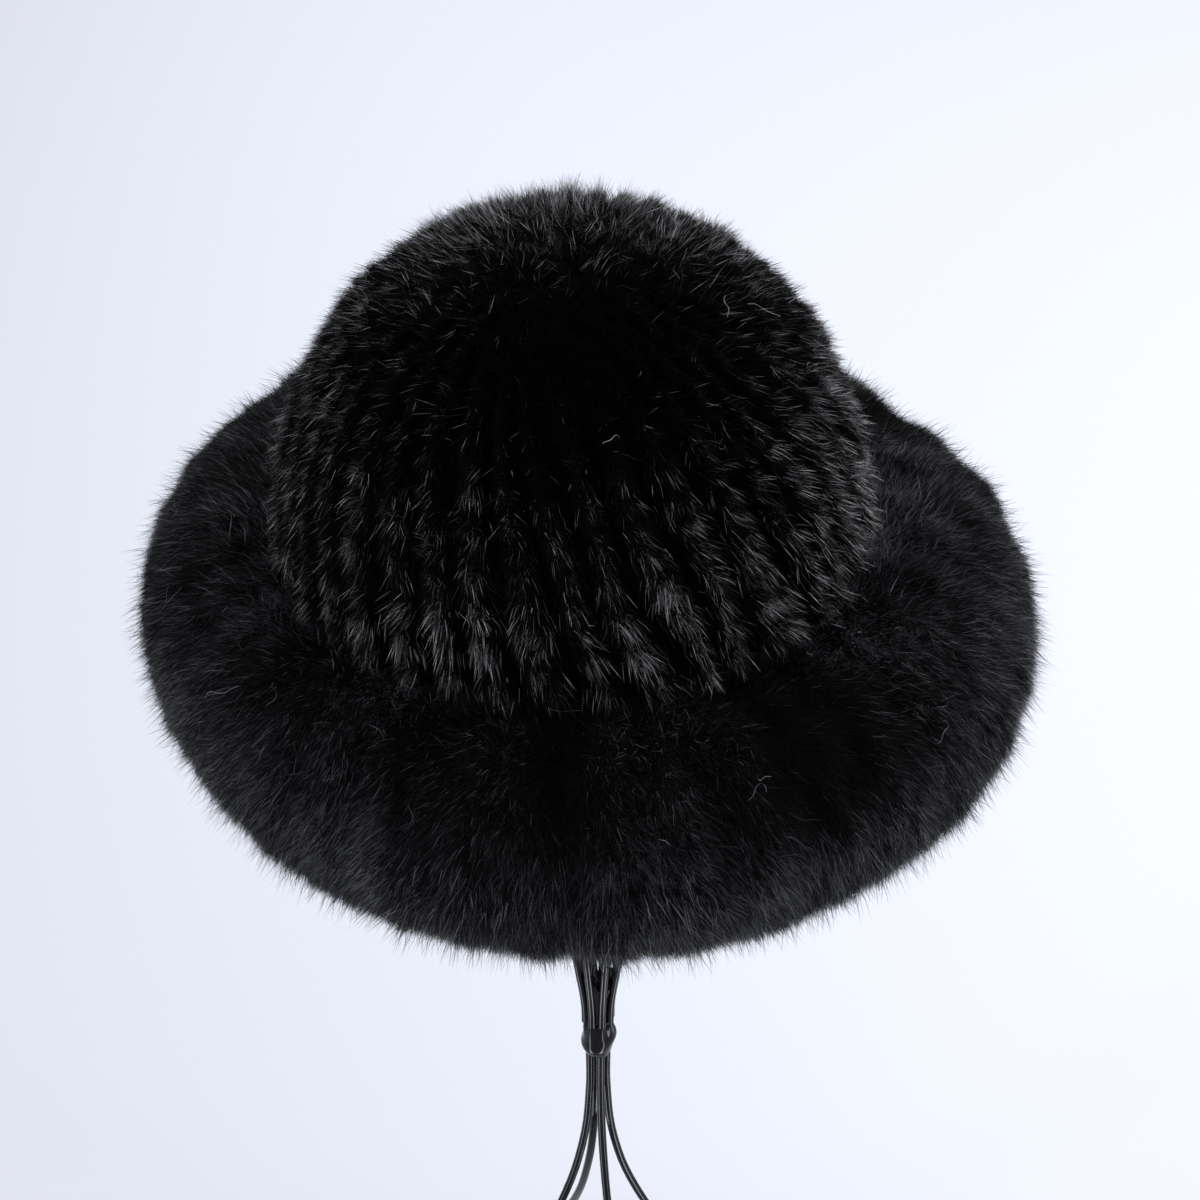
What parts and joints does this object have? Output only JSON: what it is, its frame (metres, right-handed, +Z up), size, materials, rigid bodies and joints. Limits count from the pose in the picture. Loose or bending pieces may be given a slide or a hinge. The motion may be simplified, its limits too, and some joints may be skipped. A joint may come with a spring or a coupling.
{
  "type": "fur bucket hat on a wire stand",
  "caption": "Black bucket hat with a round crown of short fur strips and a deep rolled brim of long fur, on a plain black wire stand.",
  "frame": {"origin": "under the middle of the whole object, on the surface that the stand's foot ring rests on", "axes": "+Z up, -Y towards the hat's front, +X towards the right as seen from the front"},
  "size_m": [0.3208, 0.3216, 0.5487],
  "materials": {
    "knit": "matte knit backing",
    "short_fur": "short glossy fur",
    "long_fur": "long soft fur",
    "stand_wire": "gloss black"
  },
  "bodies": {
    "root": {"crown": "knit", "crown_fur": "short_fur", "brim": "knit", "brim_fur": "long_fur", "hub": "stand_wire", "collar": "stand_wire", "rib_1": "stand_wire", "rib_2": "stand_wire", "rib_3": "stand_wire", "rib_4": "stand_wire", "rib_5": "stand_wire", "rib_6": "stand_wire", "rib_7": "stand_wire", "rib_8": "stand_wire", "leg_1": "stand_wire", "leg_2": "stand_wire", "leg_3": "stand_wire", "leg_4": "stand_wire", "foot_ring": "stand_wire"}
  },
  "joints": []
}
